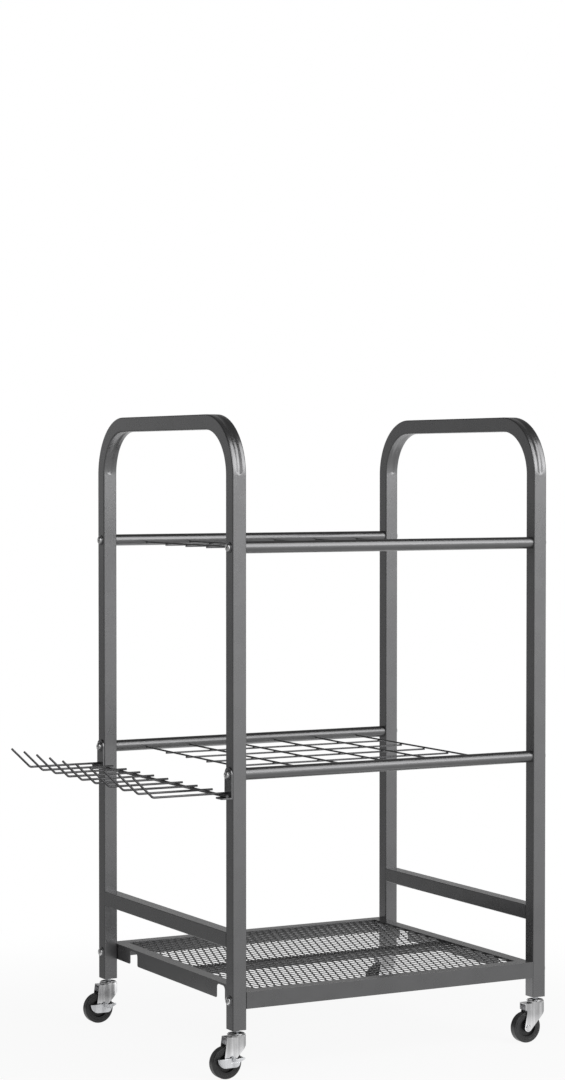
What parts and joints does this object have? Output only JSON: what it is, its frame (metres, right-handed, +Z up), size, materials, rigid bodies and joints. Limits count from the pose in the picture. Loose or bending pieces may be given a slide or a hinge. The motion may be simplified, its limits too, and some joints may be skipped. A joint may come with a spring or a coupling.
{
  "type": "garden tool rack",
  "caption": "Freestanding rolling rack for long-handled garden tools: bent square-tube side frames, wire grids between round rails, mesh-floored tray, side hook rack and swivel casters.",
  "frame": {"origin": "middle of the overall box on the ground under the wheels", "axes": "+X to the rack's right, away from the side hooks; +Y to its back; +Z up"},
  "size_m": [0.6242, 0.4212, 0.857],
  "materials": {
    "frame_paint": "dark grey powder coat, satin, finely grained",
    "tray_paint": "dark grey powder coat on pressed sheet steel, satin",
    "wire_paint": "dark grey powder coat on drawn wire, satin",
    "screw_steel": "bright plated steel",
    "zinc_steel": "bright zinc-plated steel",
    "caster_chrome": "polished chrome plate on pressed steel",
    "tread_rubber": "black rubber, matte",
    "hub_plastic": "black moulded nylon, dull",
    "socket_plastic": "black moulded plastic, hidden inside the leg ends"
  },
  "bodies": {
    "rack": {"side_frame_left": "frame_paint", "lower_crossbar_left": "frame_paint", "side_frame_right": "frame_paint", "lower_crossbar_right": "frame_paint", "upper_rail_front": "frame_paint", "upper_rail_back": "frame_paint", "upper_grid_depth_wires": "wire_paint", "upper_grid_cross_wires": "wire_paint", "middle_rail_front": "frame_paint", "middle_rail_back": "frame_paint", "middle_grid_depth_wires": "wire_paint", "middle_grid_cross_wires": "wire_paint", "rail_end_inserts": "zinc_steel", "rail_screws": "screw_steel", "screw_washers": "screw_steel", "tray_screws": "screw_steel", "tray_nuts": "zinc_steel", "tray_pan": "tray_paint", "tray_mesh_floor": "tray_paint", "tray_stiffener": "tray_paint", "hook_wires": "wire_paint", "hook_bar": "wire_paint", "hook_bracket_front": "frame_paint", "hook_bracket_back": "frame_paint", "leg_sockets": "socket_plastic", "caster_stems": "zinc_steel", "caster_top_races": "caster_chrome", "caster_bearing_rings": "zinc_steel"},
    "swivel_front_left": {"caster_fork_front_left": "caster_chrome", "wheel_axle_front_left": "caster_chrome", "brake_rivet_front_left": "zinc_steel"},
    "wheel_front_left": {"wheel_tyre_front_left": "tread_rubber", "wheel_hub_front_left": "hub_plastic"},
    "brake_front_left": {"brake_lever_front_left": "caster_chrome"},
    "swivel_front_right": {"caster_fork_front_right": "caster_chrome", "wheel_axle_front_right": "caster_chrome"},
    "wheel_front_right": {"wheel_tyre_front_right": "tread_rubber", "wheel_hub_front_right": "hub_plastic"},
    "swivel_back_left": {"caster_fork_back_left": "caster_chrome", "wheel_axle_back_left": "caster_chrome", "brake_rivet_back_left": "zinc_steel"},
    "wheel_back_left": {"wheel_tyre_back_left": "tread_rubber", "wheel_hub_back_left": "hub_plastic"},
    "brake_back_left": {"brake_lever_back_left": "caster_chrome"},
    "swivel_back_right": {"caster_fork_back_right": "caster_chrome", "wheel_axle_back_right": "caster_chrome"},
    "wheel_back_right": {"wheel_tyre_back_right": "tread_rubber", "wheel_hub_back_right": "hub_plastic"}
  },
  "joints": [
    {"name": "swivel_turn_front_left", "type": "hinge", "parent": "rack", "child": "swivel_front_left", "pos_m": [-0.16412, -0.1984, 0.053], "axis": [0, 0, 1], "continuous": true},
    {"name": "wheel_spin_front_left", "type": "hinge", "parent": "swivel_front_left", "child": "wheel_front_left", "pos_m": [-0.18012, -0.1984, 0.021], "axis": [0, 1, 0], "continuous": true},
    {"name": "brake_press_front_left", "type": "hinge", "parent": "swivel_front_left", "child": "brake_front_left", "pos_m": [-0.17312, -0.2085, 0.026], "axis": [0, 1, 0], "range_deg": [0, 12.5]},
    {"name": "swivel_turn_front_right", "type": "hinge", "parent": "rack", "child": "swivel_front_right", "pos_m": [0.29788, -0.1984, 0.053], "axis": [0, 0, 1], "continuous": true},
    {"name": "wheel_spin_front_right", "type": "hinge", "parent": "swivel_front_right", "child": "wheel_front_right", "pos_m": [0.28188, -0.1984, 0.021], "axis": [0, 1, 0], "continuous": true},
    {"name": "swivel_turn_back_left", "type": "hinge", "parent": "rack", "child": "swivel_back_left", "pos_m": [-0.16412, 0.1986, 0.053], "axis": [0, 0, 1], "continuous": true},
    {"name": "wheel_spin_back_left", "type": "hinge", "parent": "swivel_back_left", "child": "wheel_back_left", "pos_m": [-0.18012, 0.1986, 0.021], "axis": [0, 1, 0], "continuous": true},
    {"name": "brake_press_back_left", "type": "hinge", "parent": "swivel_back_left", "child": "brake_back_left", "pos_m": [-0.17312, 0.1885, 0.026], "axis": [0, 1, 0], "range_deg": [0, 12.5]},
    {"name": "swivel_turn_back_right", "type": "hinge", "parent": "rack", "child": "swivel_back_right", "pos_m": [0.29788, 0.1986, 0.053], "axis": [0, 0, 1], "continuous": true},
    {"name": "wheel_spin_back_right", "type": "hinge", "parent": "swivel_back_right", "child": "wheel_back_right", "pos_m": [0.28188, 0.1986, 0.021], "axis": [0, 1, 0], "continuous": true}
  ]
}
